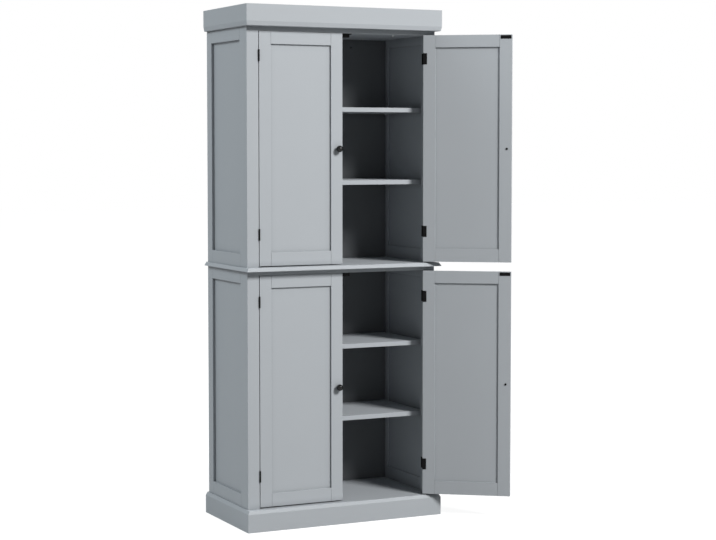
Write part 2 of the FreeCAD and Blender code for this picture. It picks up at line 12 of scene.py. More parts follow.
import bmesh
import bpy
import numpy as np
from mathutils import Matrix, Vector


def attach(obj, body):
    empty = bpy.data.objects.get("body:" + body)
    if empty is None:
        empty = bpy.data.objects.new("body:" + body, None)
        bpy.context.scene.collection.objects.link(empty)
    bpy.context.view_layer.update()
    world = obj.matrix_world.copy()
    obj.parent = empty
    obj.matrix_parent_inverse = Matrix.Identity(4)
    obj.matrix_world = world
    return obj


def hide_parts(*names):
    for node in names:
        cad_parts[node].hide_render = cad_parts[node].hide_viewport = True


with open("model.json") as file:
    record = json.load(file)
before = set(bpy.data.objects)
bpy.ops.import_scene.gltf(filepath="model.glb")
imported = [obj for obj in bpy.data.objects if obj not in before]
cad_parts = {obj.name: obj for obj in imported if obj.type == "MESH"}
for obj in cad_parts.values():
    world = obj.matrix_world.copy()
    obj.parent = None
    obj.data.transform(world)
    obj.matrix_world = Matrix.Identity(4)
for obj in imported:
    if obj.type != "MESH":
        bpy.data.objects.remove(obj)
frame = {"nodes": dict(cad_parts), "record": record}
nodes = frame["nodes"]
scene = bpy.context.scene
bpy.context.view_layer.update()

# %% [markdown]
# ## Camera
# All upright edges of the picture are parallel: its camera stood level, and its picture was shifted far
# down, as an architect's view camera does it. So large a shift would push the crown out of every other
# view. This camera tilts down a little instead and keeps only a small shift. Its place, turn, tilt and
# lens are fitted so that the corners of crown, doors and plinth land within about two pixels of the
# level camera's.

# %% Camera
image_width = 716
sensor_width = 36.0
focal_pixels = 1797.01
camera_place = Vector((-2.7549, -5.9554, 1.3541))
camera_turn = math.radians(25.953)
camera_tilt = math.radians(3.510)
picture_shift = -0.02

lens = bpy.data.cameras.new("camera")
lens.sensor_width = sensor_width
lens.lens = focal_pixels / image_width * sensor_width
lens.shift_y = picture_shift
camera = bpy.data.objects.new("camera", lens)
camera.location = camera_place
camera.rotation_euler = (math.radians(90) - camera_tilt, 0, -camera_turn)
scene.collection.objects.link(camera)
scene.camera = camera
scene.view_settings.view_transform = "Standard"
print("lens", round(lens.lens, 2), "mm, shift", picture_shift)

# %% [markdown]
# ## Sums in node trees
# Materials and Geometry Nodes are both graphs, and a sum in a graph is a chain of Math nodes. Placed
# one by one they hide the sum that they stand for. The small class below wraps one number in a tree,
# so that a sum written in the script, such as `radius * 2 + gap`, adds its Math nodes by itself.

# %% Helpers for node trees
def add_node(tree, kind, **settings):
    """New node in a tree, with some of its settings."""
    node = tree.nodes.new(kind)
    for name, value in settings.items():
        setattr(node, name, value)
    return node


def plug(value, socket):
    """Links a figure or another socket to an input, or sets the input to a plain value."""
    if isinstance(value, Figure):
        value = value.socket
    if isinstance(value, bpy.types.NodeSocket):
        socket.id_data.links.new(value, socket)
    else:
        socket.default_value = value


def fill(node, values):
    """Plugs values into a node's inputs by name."""
    for name, value in values.items():
        plug(value, node.inputs[name])
    return node


class Figure:
    """A number in a node tree, which takes part in sums as a plain number does."""

    def __init__(self, socket):
        self.socket = socket
        self.tree = socket.id_data

    def calculate(self, operation, *values):
        node = add_node(self.tree, "ShaderNodeMath", operation=operation)
        for value, socket in zip(values, node.inputs):
            plug(value, socket)
        return Figure(node.outputs[0])

    def __add__(self, other):
        return self.calculate("ADD", self, other)

    def __radd__(self, other):
        return self + other

    def __sub__(self, other):
        return self.calculate("SUBTRACT", self, other)

    def __rsub__(self, other):
        return self.calculate("SUBTRACT", other, self)

    def __mul__(self, other):
        return self.calculate("MULTIPLY", self, other)

    def __neg__(self):
        return self * -1.0

    def root(self):
        return self.calculate("SQRT", self)

    def above(self, limit):
        return self.calculate("GREATER_THAN", self, limit)

    def or_more(self, other):
        return self.calculate("MAXIMUM", self, other)


def mapped(value, start, end, low, high, way="LINEAR"):
    """A figure carried from one span to another, and held at the ends."""
    node = add_node(value.tree, "ShaderNodeMapRange", interpolation_type=way)
    fill(node, {"Value": value, "From Min": start, "From Max": end, "To Min": low, "To Max": high})
    return Figure(node.outputs["Result"])


def split(vector):
    """The three figures of a vector."""
    node = fill(add_node(vector.id_data, "ShaderNodeSeparateXYZ"), {"Vector": vector})
    return [Figure(socket) for socket in node.outputs]


def seen_directly(tree):
    """1 for the camera's rays and for those that mirror or pass through, else 0."""
    rays = add_node(tree, "ShaderNodeLightPath").outputs
    return Figure(rays["Is Camera Ray"]).or_more(rays["Is Glossy Ray"]).or_more(rays["Is Transmission Ray"])


print("helpers for sums are ready")

# %% [markdown]
# ## Studio
# A soft lamp stands in front, to the right and above: the shadow of the knob falls to the lower left,
# and the open doors shade the ends of the ledge and the plinth. A cooler lamp fills the left side.
# The room itself adds little, so the shelves stay dark inside. The floor and the room look white to
# the camera, and the floor still takes the shadow. It casts none itself, so the plinth's foot isn't taken
# for an inner corner. A bright room would be simpler, but it would light the cabinet's inside as much as
# its front.

# %% Room and floor
room_light = 0.10
room_colour = (0.95, 1.0, 1.02, 1.0)
white = (1.0, 1.0, 1.0, 1.0)
floor_size = 60.0
floor_drop = 0.0003
floor_colour = (0.3, 0.3, 0.3, 1.0)
glow_near, glow_far = 0.92, 0.97
glow_start, glow_end = 1.0, 5.0


def join_shaders(kind, tree, first, second, share=None):
    """Two shaders added, or mixed by a share of the second."""
    node = add_node(tree, kind)
    given = (first, second) if share is None else (share, first, second)
    for value, socket in zip(given, node.inputs):
        plug(value, socket)
    return node.outputs[0]


world = bpy.data.worlds.new("studio_room")
world.use_nodes = True
scene.world = world
tree = world.node_tree
lit = fill(tree.nodes["Background"], {"Color": room_colour, "Strength": room_light}).outputs[0]
shown = fill(add_node(tree, "ShaderNodeBackground"), {"Color": white, "Strength": 1.0}).outputs[0]
room = join_shaders("ShaderNodeMixShader", tree, lit, shown, seen_directly(tree))
fill(tree.nodes["World Output"], {"Surface": room})

floor_paint = bpy.data.materials.new("studio_floor")
floor_paint.use_nodes = True
tree = floor_paint.node_tree
tree.nodes.remove(tree.nodes["Principled BSDF"])
matt = fill(add_node(tree, "ShaderNodeBsdfDiffuse"), {"Color": floor_colour}).outputs[0]
away = add_node(tree, "ShaderNodeVectorMath", operation="LENGTH")
fill(away, {"Vector": add_node(tree, "ShaderNodeTexCoord").outputs["Object"]})
rising = mapped(Figure(away.outputs["Value"]), glow_start, glow_end, glow_near, glow_far, "SMOOTHSTEP")
glow = add_node(tree, "ShaderNodeEmission")
fill(glow, {"Color": white, "Strength": seen_directly(tree) * rising})
both = join_shaders("ShaderNodeAddShader", tree, matt, glow.outputs[0])
fill(tree.nodes["Material Output"], {"Surface": both})

half = floor_size / 2
floor_mesh = bpy.data.meshes.new("studio_floor")
corners = [(-half, -half), (half, -half), (half, half), (-half, half)]
floor_mesh.from_pydata([(x, y, -floor_drop) for x, y in corners], [], [(0, 1, 2, 3)])
floor_mesh.materials.append(floor_paint)
floor = bpy.data.objects.new("studio_floor", floor_mesh)
floor.visible_shadow = False
scene.collection.objects.link(floor)
print("floor", floor_size, "m wide, room light", room_light)

# %% Lamps
lamp_target = Vector((0, -0.1, 0.95))
key_colour = (1.0, 0.995, 0.985)
fill_colour = (0.93, 1.0, 1.03)


def studio_lamp(name, azimuth, elevation, distance, size, power, colour):
    """Square soft lamp that looks at the cabinet. Azimuth 0 is in front, and 90 on the right."""
    data = bpy.data.lights.new(name, "AREA")
    data.size = size
    data.energy = power
    data.color = colour
    lamp = bpy.data.objects.new(name, data)
    turn = math.radians(azimuth)
    rise = math.radians(elevation)
    away = Vector((math.sin(turn) * math.cos(rise), -math.cos(turn) * math.cos(rise), math.sin(rise)))
    lamp.location = lamp_target + away * distance
    lamp.rotation_euler = away.to_track_quat("Z", "Y").to_euler()
    scene.collection.objects.link(lamp)
    print(name, "at", tuple(round(value, 2) for value in lamp.location))


studio_lamp("key_lamp", azimuth=22, elevation=34.7, distance=9.0, size=2.2, power=714, colour=key_colour)
studio_lamp("left_fill", azimuth=-110, elevation=38, distance=10.0, size=4.0, power=425, colour=fill_colour)

# %% [markdown]
# ## Paint
# The boards are sprayed with a cool grey satin paint. From a step away it is even, and close up it has
# the fine dimples of a spray gun and faint clouds where the coat is thicker. One node group makes
# these three: a shifting colour, a shifting gloss and a height. Each material feeds it its own values.
# In the inner corners the colour is made a little darker: this is painted shade, put into the colour where
# shade would fall. Such corners could be masked by hand, but the Ambient Occlusion node finds them from the
# shapes, within a short reach.

# %% Groups of the coats
cloud_detail, sheen_detail, grain_detail = 3, 2, 1
# Rays of the Ambient Occlusion node that finds the corners for the painted shade.
painted_shade_rays = 8


def new_shader_group(name, inputs, outputs):
    """Shader group with named sockets: the group, its inputs' sockets and its output node."""
    group = bpy.data.node_groups.new(name, "ShaderNodeTree")
    for way, sockets in (("INPUT", inputs), ("OUTPUT", outputs)):
        for label, kind in sockets.items():
            group.interface.new_socket(label, in_out=way, socket_type="NodeSocket" + kind)
    return group, group.nodes.new("NodeGroupInput").outputs, group.nodes.new("NodeGroupOutput")


def noise(place, scale, detail):
    """Soft pattern from 0 to 1 over a place."""
    node = add_node(place.id_data, "ShaderNodeTexNoise")
    return Figure(fill(node, {"Vector": place, "Scale": scale, "Detail": detail}).outputs[0])


def swinging(pattern, amount):
    """A 0 to 1 pattern turned into one that swings by amount about zero."""
    return (pattern - 0.5) * amount


def shaded(colour, swing):
    """A colour made lighter and darker by a swing about zero."""
    node = add_node(swing.tree, "ShaderNodeHueSaturation")
    return fill(node, {"Color": colour, "Value": swing + 1.0}).outputs[0]


def coat_group(name, cloud_scale, sheen_scale, grain_scale):
    """Group for a sprayed coat: clouds of colour, clouds of gloss and a fine height."""
    inputs = {"Place": "Vector", "Colour": "Color", "Clouding": "Float", "Roughness": "Float",
              "Gloss Shift": "Float"}
    outputs = {"Colour": "Color", "Roughness": "Float", "Height": "Float"}
    group, given, made = new_shader_group(name, inputs, outputs)
    clouds = swinging(noise(given["Place"], cloud_scale, cloud_detail), given["Clouding"])
    sheen = swinging(noise(given["Place"], sheen_scale, sheen_detail), given["Gloss Shift"])
    fill(made, {"Colour": shaded(given["Colour"], clouds), "Roughness": sheen + given["Roughness"],
                "Height": noise(given["Place"], grain_scale, grain_detail)})
    return group


sprayed_paint = coat_group("sprayed_paint", cloud_scale=5, sheen_scale=28, grain_scale=650)
powder_coat = coat_group("powder_coat", cloud_scale=120, sheen_scale=300, grain_scale=2600)

# Painted shade: the colour darkens where the Ambient Occlusion node finds other surfaces close by.
painted_corner_shade, given, made = new_shader_group(
    "painted_corner_shade", {"Colour": "Color", "Reach": "Float", "Strength": "Float"}, {"Colour": "Color"})
openness = add_node(painted_corner_shade, "ShaderNodeAmbientOcclusion", samples=painted_shade_rays)
fill(openness, {"Distance": given["Reach"]})
painted_shade_darkening = (Figure(openness.outputs["AO"]) - 1.0) * given["Strength"]
fill(made, {"Colour": shaded(given["Colour"], painted_shade_darkening)})
print("groups:", [group.name for group in bpy.data.node_groups])

# %% Coated materials
# Reach and strength of the shade painted into inner corners.
painted_shade_reach = 0.026
painted_shade_strength = 0.45
screen_white = 255
dark_end, dark_slope = 0.04045, 12.92
curve_lift, curve_power = 0.055, 2.4


def daylight(colour):
    """Linear colour from the 0 to 255 values that a screen shows."""
    linear = []
    for value in colour:
        share = value / screen_white
        bright = ((share + curve_lift) / (1 + curve_lift)) ** curve_power
        linear.append(share / dark_slope if share <= dark_end else bright)
    return (*linear, 1.0)


def new_material(name, settings):
    """Material with plain settings: itself, its shader and the coordinates that patterns read."""
    material = bpy.data.materials.new(name)
    material.use_nodes = True
    shader = fill(material.node_tree.nodes["Principled BSDF"], settings)
    return material, shader, add_node(material.node_tree, "ShaderNodeTexCoord").outputs


def sprayed(group, place, colour, clouding, roughness, gloss_shift):
    """Outputs of a coat over a place, its colour given as it looks in daylight."""
    coat = add_node(place.id_data, "ShaderNodeGroup", node_tree=group)
    fill(coat, {"Place": place, "Colour": daylight(colour), "Clouding": clouding, "Roughness": roughness,
                "Gloss Shift": gloss_shift})
    return coat.outputs


def with_corner_shade_painted(colour):
    """A colour darkened in inner corners: painted shade, found by the Ambient Occlusion node."""
    node = add_node(colour.id_data, "ShaderNodeGroup", node_tree=painted_corner_shade)
    fill(node, {"Colour": colour, "Reach": painted_shade_reach, "Strength": painted_shade_strength})
    return node.outputs["Colour"]


def bumped(height, distance):
    """Normal of a surface that rises by a distance where the height is 1."""
    bump = add_node(height.id_data, "ShaderNodeBump")
    return fill(bump, {"Height": height, "Distance": distance}).outputs["Normal"]


def coated(name, group, colour, clouding, roughness, gloss_shift, dimple, specular, corners=False):
    """Material with one of the coats."""
    material, shader, coords = new_material(name, {"Specular IOR Level": specular})
    coat = sprayed(group, coords["Object"], colour, clouding, roughness, gloss_shift)
    # With corners set, shade is painted into the colour in the inner corners.
    tone = with_corner_shade_painted(coat["Colour"]) if corners else coat["Colour"]
    normal = bumped(coat["Height"], dimple)
    fill(shader, {"Base Color": tone, "Roughness": coat["Roughness"], "Normal": normal})
    return material


grey_paint = coated("grey_paint", sprayed_paint, (188, 193, 198), clouding=0.03, roughness=0.55,
                    gloss_shift=0.08, dimple=0.00002, specular=0.25, corners=True)
black_metal = coated("black_hinge_metal", powder_coat, (12, 12, 13), clouding=0.2, roughness=0.5,
                     gloss_shift=0.12, dimple=0.000006, specular=0.1)
black_gloss = coated("black_knob_metal", powder_coat, (5, 5, 6), clouding=0.2, roughness=0.1,
                     gloss_shift=0.04, dimple=0.000003, specular=0.3)
black_plastic = coated("black_plastic", powder_coat, (22, 22, 23), clouding=0.1, roughness=0.55,
                       gloss_shift=0.1, dimple=0.00001, specular=0.2)
print("coats:", sorted(material.name for material in bpy.data.materials))

# %% [markdown]
# ## Zinc, beech and fibreboard
# Three finishes are not sprayed. The shelf pins, cams and long screws are zinc plated: the plating
# forms flat crystals that mirror a little differently, so a cell pattern shifts the gloss and the
# tone of a metal. The dowels are bare beech, with short dark flecks along the grain, so the noise is
# stretched along the dowel. The back panels are thin fibreboard, painted on the inner face only: the
# outer face shows pressed fibres, and the direction of the surface tells the two apart.

# %% Zinc and beech
zinc_colour = (190, 192, 196)
zinc_roughness = 0.32
crystal_scale = 900.0
crystal_swing = 0.25
beech_colour = (202, 164, 122)
fleck_scale, fleck_detail, fleck_swing = 1400, 2, 0.5
fleck_stretch = (1, 1, 0.12)
fleck_height = 0.00003


def fibres(place, stretch, scale, detail):
    """Noise that is drawn out along some of the axes."""
    mapping = fill(add_node(place.id_data, "ShaderNodeMapping"), {"Vector": place, "Scale": stretch})
    return noise(mapping.outputs["Vector"], scale, detail)


zinc, shader, coords = new_material("zinc_plate", {"Metallic": 1.0})
crystals = add_node(zinc.node_tree, "ShaderNodeTexVoronoi")
fill(crystals, {"Vector": coords["Object"], "Scale": crystal_scale})
tone = add_node(zinc.node_tree, "ShaderNodeSeparateColor")
fill(tone, {"Color": crystals.outputs["Color"]})
swing = swinging(Figure(tone.outputs["Red"]), crystal_swing)
fill(shader, {"Base Color": shaded(daylight(zinc_colour), swing), "Roughness": swing + zinc_roughness})

beech, shader, coords = new_material("beech", {"Roughness": 0.6})
flecks = fibres(coords["Object"], fleck_stretch, fleck_scale, fleck_detail)
fill(shader, {"Base Color": shaded(daylight(beech_colour), swinging(flecks, fleck_swing)),
              "Normal": bumped(flecks.socket, fleck_height)})
print("zinc and beech are ready")

# %% Fibreboard
# The inner face's grey is darker than the boards' grey: painted shade, so that the inside of the cabinet
# looks shaded.
back_grey_darkened_as_shade = (100, 103, 106)
fibre_colour = (138, 106, 76)
strand_scale, strand_detail, strand_stretch = 420, 4, (1, 1, 0.35)
blotch_scale, blotch_detail = 9, 3
fibre_swing, fibre_middle = 0.45, 0.22
board_height = 0.00004
facing_back = 0.5
mix_share, mix_first, mix_second, mix_result = 0, 6, 7, 2

back_board, shader, coords = new_material("back_board", {"Roughness": 0.7})
coat = sprayed(sprayed_paint, coords["Object"], back_grey_darkened_as_shade, clouding=0.04, roughness=0.55, gloss_shift=0.08)
strands = fibres(coords["Object"], strand_stretch, strand_scale, strand_detail)
blotches = noise(coords["Object"], blotch_scale, blotch_detail)
raw = shaded(daylight(fibre_colour), swinging(strands + blotches, fibre_swing) - fibre_middle)
outer = split(coords["Normal"])[1].above(facing_back)
colour = add_node(back_board.node_tree, "ShaderNodeMix", data_type="RGBA")
plug(outer, colour.inputs[mix_share])
# The painted inner face also gets shade painted into its inner corners.
plug(with_corner_shade_painted(coat["Colour"]), colour.inputs[mix_first])
plug(raw, colour.inputs[mix_second])
painted_height = Figure(coat["Height"])
height = painted_height + (strands - painted_height) * outer
fill(shader, {"Base Color": colour.outputs[mix_result], "Normal": bumped(height.socket, board_height)})
print("materials:", sorted(material.name for material in bpy.data.materials))

# %% [markdown]
# ## Finish of each solid
# The record of the cabinet names a slot for every solid, such as grey paint or zinc. Each slot gets one
# of the materials above, and every solid that isn't replaced further on keeps it.

# %% Finish of each solid
finish_of_slot = {
    "grey_paint": grey_paint, "grey_back_board": back_board, "black_hinge_metal": black_metal,
    "black_knob_metal": black_gloss, "black_plastic": black_plastic, "zinc_steel": zinc, "beech": beech,
}
for subpart in frame["record"]["subparts"]:
    solid = nodes[subpart["node"]]
    solid.data.materials.clear()
    solid.data.materials.append(finish_of_slot[subpart["material_slot"]])

# %% [markdown]
# ## Screws
# The hinge leaves, strike plates, catches, knobs and top panels are held by cross-headed screws: flat
# heads sunk flush in the thin plates, and domed heads elsewhere. They differ only in a few sizes, so
# one Geometry Nodes tree makes one screw from its sizes and sets a copy of it at every place. The
# places, directions and sizes are measured on the plain solids, which the finer screws then replace.
# A real fitter never stops all the crosses at the same angle, so each copy gets a turn of its own.

# %% Measuring the plain solids
same_place = 1e-6
same_size = 2e-5
size_digits = 5
screw_sizes = ("Head Radius", "Head Rise", "Head Sink", "Shank Radius", "Shank Length")


def loose_parts(name):
    """Points of each separate solid in a node, as arrays, in the same order at every run."""
    work = bmesh.new()
    work.from_mesh(nodes[name].data)
    bmesh.ops.remove_doubles(work, verts=work.verts, dist=same_place)
    work.verts.index_update()
    seen = set()
    parts = []
    for first in work.verts:
        if first.index in seen:
            continue
        seen.add(first.index)
        front = [first]
        found = []
        while front:
            vertex = front.pop()
            found.append(tuple(vertex.co))
            near = [edge.other_vert(vertex) for edge in vertex.link_edges]
            front += [other for other in near if other.index not in seen]
            seen.update(other.index for other in near)
        parts.append(np.array(found))
    work.free()
    return parts


def rounded(sizes):
    """Sizes as plain numbers, rounded to a hundredth of a millimetre."""
    return {label: round(float(size), size_digits) for label, size in sizes.items()}


def measured_screw(points):
    """Seat, outward axis and sizes of a screw, from the points of its plain solid."""
    middle = points.mean(axis=0)
    axis = np.linalg.svd(points - middle, full_matrices=False)[2][0]
    along = (points - middle) @ axis
    ends = [points[np.abs(along - edge) < same_size].mean(axis=0) for edge in (along.min(), along.max())]
    reach = np.linalg.norm(ends[1] - ends[0])
    axis = (ends[1] - ends[0]) / reach
    radius = np.linalg.norm(points - ends[0] - np.outer((points - ends[0]) @ axis, axis), axis=1)
    along = (points - ends[0]) @ axis
    if radius[along > reach / 2].max() < radius[along < reach / 2].max():
        ends.reverse()
        axis = -axis
        along = (points - ends[0]) @ axis
    head = radius.max()
    shank = radius[along < same_size].max()
    seat = along[radius > head - same_size].min()
    sink = seat - along[np.abs(radius - shank) < same_size].max()
    sizes = dict(zip(screw_sizes, (head, along.max() - seat, sink, shank, seat)))
    return ends[0] + axis * seat, axis, rounded(sizes)


print("first screw of the frame:", measured_screw(loose_parts("frame_screws")[0])[2])

# %% Helpers for Geometry Nodes
def new_geometry_tree(name, sizes):
    """Geometry tree with named sizes, a seed and a finish: the tree, its inputs and its output node."""
    tree = bpy.data.node_groups.new(name, "GeometryNodeTree")
    kinds = {"Geometry": "Geometry", **dict.fromkeys(sizes, "Float"), "Seed": "Int", "Finish": "Material"}
    for label, kind in kinds.items():
        tree.interface.new_socket(label, in_out="INPUT", socket_type="NodeSocket" + kind)
    tree.interface.new_socket("Geometry", in_out="OUTPUT", socket_type="NodeSocketGeometry")
    sockets = tree.nodes.new("NodeGroupInput").outputs
    given = {label: Figure(sockets[label]) for label in kinds}
    return tree, given, tree.nodes.new("NodeGroupOutput")


def triple(tree, x, y, z):
    """Vector from three figures."""
    return fill(add_node(tree, "ShaderNodeCombineXYZ"), {"X": x, "Y": y, "Z": z}).outputs[0]


def shifted(mesh, x, y, z, turn=(0, 0, 0)):
    """A mesh turned about the origin and then moved."""
    node = add_node(mesh.id_data, "GeometryNodeTransform")
    fill(node, {"Geometry": mesh, "Translation": triple(mesh.id_data, x, y, z), "Rotation": turn})
    return node.outputs[0]


def combined(operation, first, *others):
    """Meshes added to each other, or taken away from the first one."""
    node = add_node(first.id_data, "GeometryNodeMeshBoolean", operation=operation, solver="EXACT")
    plug(first, node.inputs["Mesh 1" if operation == "DIFFERENCE" else "Mesh 2"])
    for mesh in others:
        plug(mesh, node.inputs["Mesh 2"])
    return node.outputs["Mesh"]


def round_bar(tree, radius, depth, corners, rings=1):
    """Upright cylinder about the origin."""
    node = add_node(tree, "GeometryNodeMeshCylinder")
    fill(node, {"Vertices": corners, "Side Segments": rings, "Radius": radius, "Depth": depth})
    return node.outputs["Mesh"]


def box_of(tree, x, y, z):
    """Box about the origin."""
    return fill(add_node(tree, "GeometryNodeMeshCube"), {"Size": triple(tree, x, y, z)}).outputs["Mesh"]


def aimed(tree, axis, pivot):
    """Turn that lays an axis of the shape along the direction kept on each point."""
    kept = add_node(tree, "GeometryNodeInputNamedAttribute", data_type="FLOAT_VECTOR")
    fill(kept, {"Name": "direction"})
    node = add_node(tree, "FunctionNodeAlignRotationToVector", axis=axis, pivot_axis=pivot)
    return fill(node, {"Vector": kept.outputs[0]}).outputs[0]


def set_copies(given, made, shape, turn):
    """Copies of a shape at every point, turned, made real and finished."""
    tree = shape.id_data
    copies = add_node(tree, "GeometryNodeInstanceOnPoints")
    fill(copies, {"Points": given["Geometry"], "Instance": shape, "Rotation": turn})
    real = fill(add_node(tree, "GeometryNodeRealizeInstances"), {"Geometry": copies.outputs[0]})
    finish = add_node(tree, "GeometryNodeSetMaterial")
    fill(finish, {"Geometry": real.outputs[0], "Material": given["Finish"]})
    fill(made, {"Geometry": finish.outputs[0]})
    print(tree.name, "has", len(tree.nodes), "nodes")


# %% Tree of a cross-headed screw
head_corners, head_rings, shank_corners = 24, 6, 12
dome_share = 0.62
cross_shares = (1.1, 0.26, 0.6)
quarter_turn = math.pi / 2


def make_screw_tree():
    """Tree of a screw whose local Z axis points out of the surface, with the head's seat at zero."""
    tree, given, made = new_geometry_tree("cross_headed_screw", screw_sizes)
    head_radius, rise, sink, shank_radius, shank_length = [given[label] for label in screw_sizes]
    middle = (rise - sink) * 0.5
    blank = shifted(round_bar(tree, 1.0, rise + sink, head_corners, head_rings), 0.0, 0.0, middle)
    x, y, z = split(add_node(tree, "GeometryNodeInputPosition").outputs[0])
    flare = mapped(z, 0.0, -sink, head_radius, shank_radius)
    dome = mapped(z, 0.0, rise, 0.0, dome_share)
    radius = flare * (1.0 - dome * dome).root()
    head = add_node(tree, "GeometryNodeSetPosition")
    fill(head, {"Geometry": blank, "Position": triple(tree, x * radius, y * radius, z)})
    shank = round_bar(tree, shank_radius, shank_length + middle, shank_corners)
    shank = shifted(shank, 0.0, 0.0, (middle - shank_length) * 0.5)
    screw = combined("UNION", head.outputs[0], shank)
    long, wide, deep = [head_radius * share for share in cross_shares]
    arms = [shifted(box_of(tree, *size), 0.0, 0.0, rise) for size in ((long, wide, deep), (wide, long, deep))]
    screw = combined("DIFFERENCE", screw, *arms)
    chance = fill(add_node(tree, "FunctionNodeRandomValue", data_type="FLOAT"), {"Seed": given["Seed"]})
    spin = add_node(tree, "FunctionNodeAxisAngleToRotation")
    fill(spin, {"Axis": (0, 0, 1), "Angle": Figure(chance.outputs[1]) * quarter_turn})
    turn = add_node(tree, "FunctionNodeRotateRotation", rotation_space="LOCAL")
    fill(turn, {"Rotation": aimed(tree, "Z", "AUTO"), "Rotate By": spin.outputs[0]})
    set_copies(given, made, screw, turn.outputs[0])
    return tree


screw_tree = make_screw_tree()

# %% From a tree to a finished piece
sharp_angle = math.radians(35)
weld_reach = 5e-6


def made_real(name, tree, places, directions, values, finish, seed=0):
    """Plain mesh from a tree set on points, each with a direction."""
    mesh = bpy.data.meshes.new(name)
    mesh.from_pydata([tuple(place) for place in places], [], [])
    kept = mesh.attributes.new("direction", "FLOAT_VECTOR", "POINT")
    kept.data.foreach_set("vector", np.array(directions, dtype=np.float32).ravel())
    source = bpy.data.objects.new(name, mesh)
    scene.collection.objects.link(source)
    modifier = source.modifiers.new(tree.name, "NODES")
    modifier.node_group = tree
    given = {**values, "Seed": seed, "Finish": finish}
    for item in tree.interface.items_tree:
        if item.in_out == "INPUT" and item.name in given:
            modifier[item.identifier] = given[item.name]
    bpy.context.view_layer.update()
    result = bpy.data.meshes.new_from_object(source.evaluated_get(bpy.context.evaluated_depsgraph_get()))
    bpy.data.objects.remove(source)
    return result


def new_piece(name, meshes, finish, body, replaced=()):
    """One finished piece from some meshes, welded, on its body and in the place of its plain solids."""
    work = bmesh.new()
    for mesh in meshes:
        work.from_mesh(mesh)
    bmesh.ops.remove_doubles(work, verts=work.verts, dist=weld_reach)
    bmesh.ops.dissolve_degenerate(work, edges=work.edges, dist=weld_reach)
    bmesh.ops.recalc_face_normals(work, faces=work.faces)
    whole = bpy.data.meshes.new(name)
    work.to_mesh(whole)
    work.free()
    for face in whole.polygons:
        face.use_smooth = True
        face.material_index = 0
    whole.set_sharp_from_angle(angle=sharp_angle)
    whole.materials.clear()
    whole.materials.append(finish)
    piece = bpy.data.objects.new(name, whole)
    scene.collection.objects.link(piece)
    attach(piece, body)
    if replaced:
        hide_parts(*replaced)
    print(name, len(whole.polygons), "faces on", body)
    return piece


# %% Screws of each body
doors = ("upper_left_door", "upper_right_door", "lower_left_door", "lower_right_door")
frame_seed, panel_seed, first_door_seed = 3, 5, 11


def screw_piece(name, node, body, finish, seed):
    """All the screws of one node, kind by kind, as one piece."""
    kinds = {}
    for part in loose_parts(node):
        place, axis, sizes = measured_screw(part)
        kinds.setdefault(tuple(sizes.items()), []).append((place, axis))
    meshes = []
    for sizes, screws in kinds.items():
        places, axes = zip(*screws)
        meshes.append(made_real(name, screw_tree, places, axes, dict(sizes), finish, seed))
        print(node, "has", len(screws), "screws with a head radius of", dict(sizes)["Head Radius"])
    new_piece(name, meshes, finish, body, [node])


screw_piece("frame_cross_screws", "frame_screws", "cabinet", black_metal, frame_seed)
screw_piece("panel_cross_screws", "panel_screws", "cabinet", zinc, panel_seed)
for seed, door in enumerate(doors, first_door_seed):
    screw_piece(door + "_cross_screws", door + "_screws", door, black_metal, seed)

# %% [markdown]
# ## Shelf pins
# A loose shelf lies on four zinc-plated pins: a stem in the drilled wall, a thin collar against the
# wall, and a flat spoon under the shelf. Sixteen copies of one shape call for Geometry Nodes again,
# with the spoon's round end and the collar that the plain solid leaves out.

# %% Tree of a shelf pin
pin_sizes = ("Stem Radius", "Stem Depth", "Reach", "Spoon Width", "Spoon Thickness", "Collar Radius",
             "Collar Thickness")
stem_corners, spoon_corners = 24, 32
nose_share = 0.8
lying = (0, math.pi / 2, 0)


def make_pin_tree():
    """Tree of a pin whose local X axis points out of the wall, with the shelf's underside at zero."""
    tree, given, made = new_geometry_tree("shelf_pin", pin_sizes)
    radius, depth, reach, width, thickness, collar_radius, collar = [given[label] for label in pin_sizes]
    nose = reach * nose_share
    stem = round_bar(tree, radius, depth + nose, stem_corners)
    stem = shifted(stem, (nose - depth) * 0.5, 0.0, -radius, lying)
    disc = round_bar(tree, collar_radius, collar, spoon_corners)
    disc = shifted(disc, collar * 0.5, 0.0, -radius, lying)
    flat = reach - width * 0.5
    blade = shifted(box_of(tree, flat, width, thickness), flat * 0.5, 0.0, thickness * -0.5)
    tip = shifted(round_bar(tree, width * 0.5, thickness, spoon_corners), flat, 0.0, thickness * -0.5)
    set_copies(given, made, combined("UNION", stem, disc, blade, tip), aimed(tree, "X", "Z"))
    return tree


pin_tree = make_pin_tree()

# %% Shelf pins in their holes
pin_collar = {"Collar Radius": 0.0034, "Collar Thickness": 0.0007}
beside_stem = 1.2


def measured_pin(points):
    """Place under the shelf at the wall, direction into the cabinet and sizes of a plain pin."""
    low = points.min(axis=0)
    high = points.max(axis=0)
    side = math.copysign(1, low[0] + high[0])
    reach = np.abs(points[:, 0])
    middle = (low[1] + high[1]) / 2
    stem = (high[2] - low[2]) / 2
    spoon = np.abs(points[:, 1] - middle) > stem * beside_stem
    wall = reach[spoon].max()
    sizes = {"Stem Radius": stem, "Stem Depth": reach.max() - wall, "Reach": wall - reach.min(),
             "Spoon Width": high[1] - low[1], "Spoon Thickness": high[2] - points[spoon, 2].min()}
    return (side * wall, middle, high[2]), (-side, 0, 0), sizes


places, directions, sizes = zip(*[measured_pin(part) for part in loose_parts("shelf_pins")])
values = rounded(sizes[0])
pins = made_real("shelf_pins", pin_tree, places, directions, {**values, **pin_collar}, zinc)
new_piece("spoon_shelf_pins", [pins], zinc, "cabinet", ["shelf_pins"])
print("pin sizes:", values)

